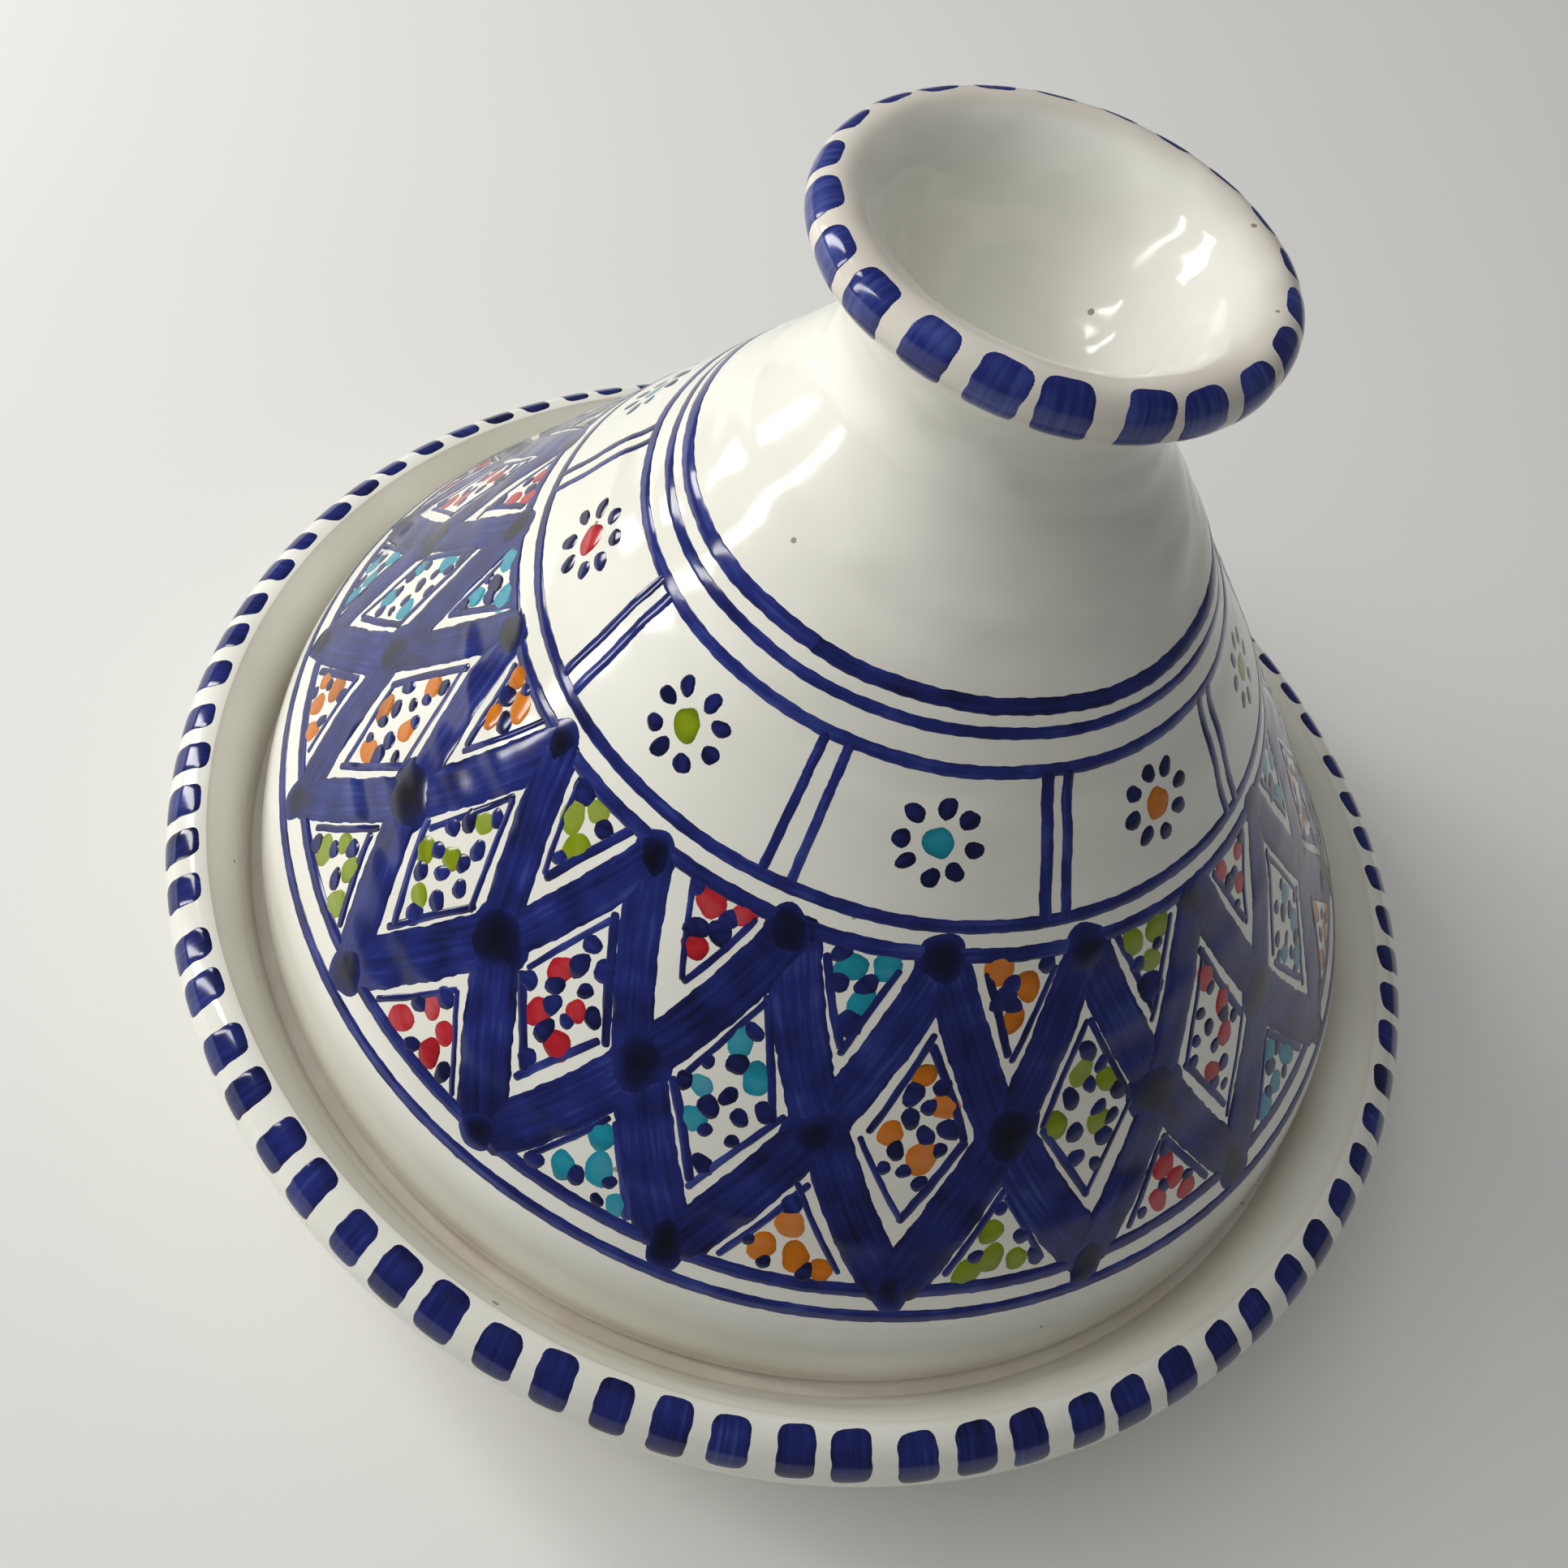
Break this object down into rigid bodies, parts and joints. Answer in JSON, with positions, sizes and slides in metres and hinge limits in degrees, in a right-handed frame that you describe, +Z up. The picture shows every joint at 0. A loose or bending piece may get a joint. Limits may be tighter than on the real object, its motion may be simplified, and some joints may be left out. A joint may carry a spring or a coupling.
{
  "type": "tagine pot",
  "caption": "Glazed earthenware tagine: round dish with a rolled lip and gutter, and a tall lift-off conical lid with a cup-shaped knob.",
  "frame": {"origin": "centre of the dish's foot, on the surface it stands on", "axes": "+Z up along the axis both pieces were turned on; X and Y are free, as every solid is round"},
  "size_m": [0.28, 0.28, 0.2101],
  "materials": {
    "dish_glaze": "off-white tin glaze with cobalt brush strokes on the lip",
    "lid_glaze": "off-white tin glaze under cobalt, red, turquoise, green and orange brushwork",
    "knob_glaze": "off-white tin glaze, thin and pinkish on the rolled lip, with cobalt brush strokes"
  },
  "bodies": {
    "dish": {"dish": "dish_glaze"},
    "lid": {"lid_cone": "lid_glaze", "lid_knob": "knob_glaze"}
  },
  "joints": [
    {"name": "lid_lift", "type": "slide", "parent": "dish", "child": "lid", "axis": [0, 0, 1], "range_m": [0, 0.15]}
  ]
}
